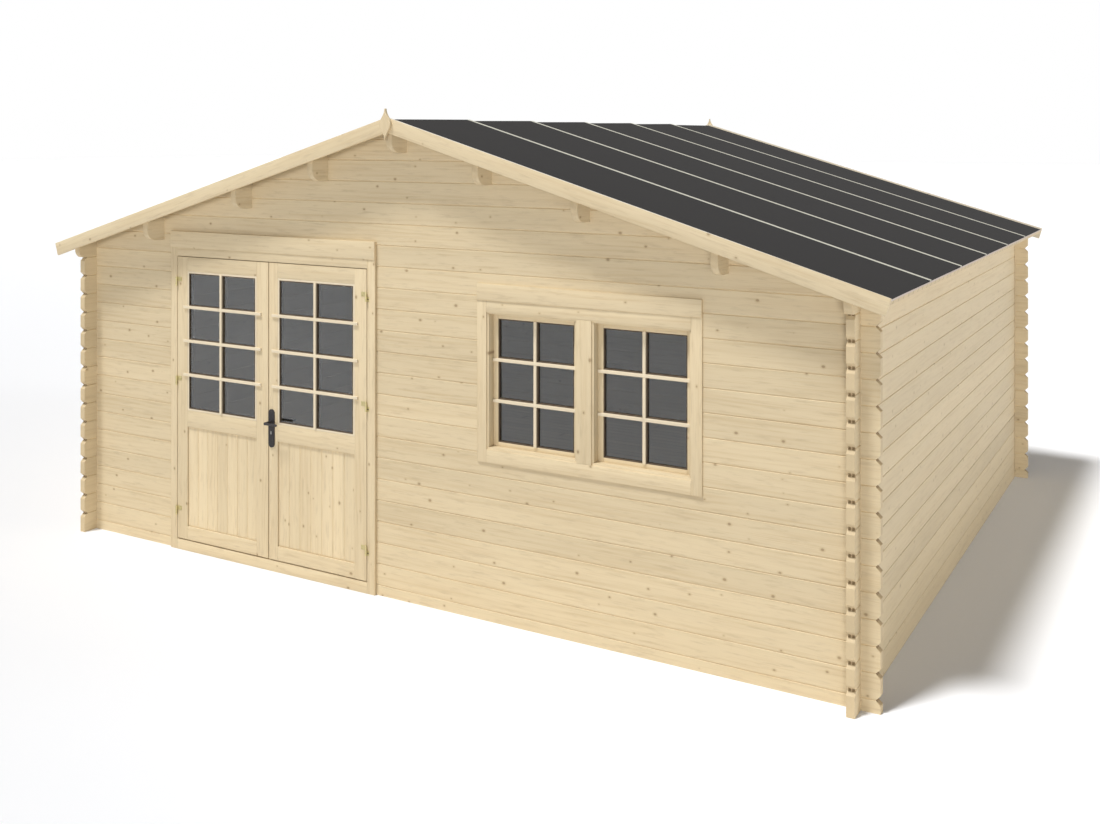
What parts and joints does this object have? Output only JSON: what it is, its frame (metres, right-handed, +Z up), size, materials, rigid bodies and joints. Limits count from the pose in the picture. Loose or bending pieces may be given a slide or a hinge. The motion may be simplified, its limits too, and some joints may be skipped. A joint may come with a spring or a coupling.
{
  "type": "garden shed",
  "caption": "Log garden shed with crossing log corners, low felted gable roof, part-glazed double door and a two-sash window.",
  "frame": {"origin": "centre of the overall box, at the ground", "axes": "+X across the gable front from the door to the window, +Y from the front to the back, +Z up"},
  "size_m": [6.154, 5.227, 3.09],
  "materials": {
    "logs": "planed pine, unpainted",
    "roof_boards": "planed pine, unpainted",
    "felt": "matt mineral felt",
    "trim": "planed pine, unpainted",
    "joinery": "planed pine, unpainted",
    "glass": "clear",
    "brass": "dull",
    "black_metal": "satin black",
    "floor": "planed pine, unpainted"
  },
  "bodies": {
    "shed": {"front_wall_left": "logs", "front_wall_middle": "logs", "front_wall_right": "logs", "front_wall_sill": "logs", "front_wall_lintel": "logs", "front_gable": "logs", "left_wall": "logs", "right_wall": "logs", "back_wall": "logs", "ridge_purlin": "logs", "left_purlins": "logs", "right_purlins": "logs", "left_deck": "roof_boards", "right_deck": "roof_boards", "left_felt": "felt", "right_felt": "felt", "front_left_barge": "trim", "front_right_barge": "trim", "back_left_barge": "trim", "back_right_barge": "trim", "finials": "trim", "door_jambs": "trim", "door_head": "trim", "door_threshold": "trim", "window_jambs": "trim", "window_head": "trim", "window_bottom": "trim", "window_mullion": "trim", "head_boards": "trim", "sash_stiles": "joinery", "sash_rails": "joinery", "window_glass": "glass", "frame_hinges": "brass", "floor_boards": "floor", "floor_bearers": "floor"},
    "left_leaf": {"left_leaf_stiles": "joinery", "left_leaf_rails": "joinery", "left_leaf_panel": "joinery", "left_leaf_glass": "glass", "left_leaf_hinges": "brass"},
    "right_leaf": {"right_leaf_stiles": "joinery", "right_leaf_rails": "joinery", "right_leaf_panel": "joinery", "right_leaf_glass": "glass", "right_leaf_hinges": "brass", "handle_plates": "black_metal"},
    "lever": {"door_lever": "black_metal"}
  },
  "joints": [
    {"name": "left_leaf_hinge", "type": "hinge", "parent": "shed", "child": "left_leaf", "pos_m": [-1.972, -2.4465, 1.195], "axis": [0, 0, -1], "range_deg": [0, 170]},
    {"name": "right_leaf_hinge", "type": "hinge", "parent": "shed", "child": "right_leaf", "pos_m": [-0.278, -2.4465, 1.195], "axis": [0, 0, 1], "range_deg": [0, 170]},
    {"name": "lever_turn", "type": "hinge", "parent": "right_leaf", "child": "lever", "pos_m": [-1.082, -2.4145, 1.003], "axis": [0, 1, 0], "range_deg": [0, 40], "stiffness_Nm_per_rad": 0.8, "springref_deg": -28.65}
  ]
}
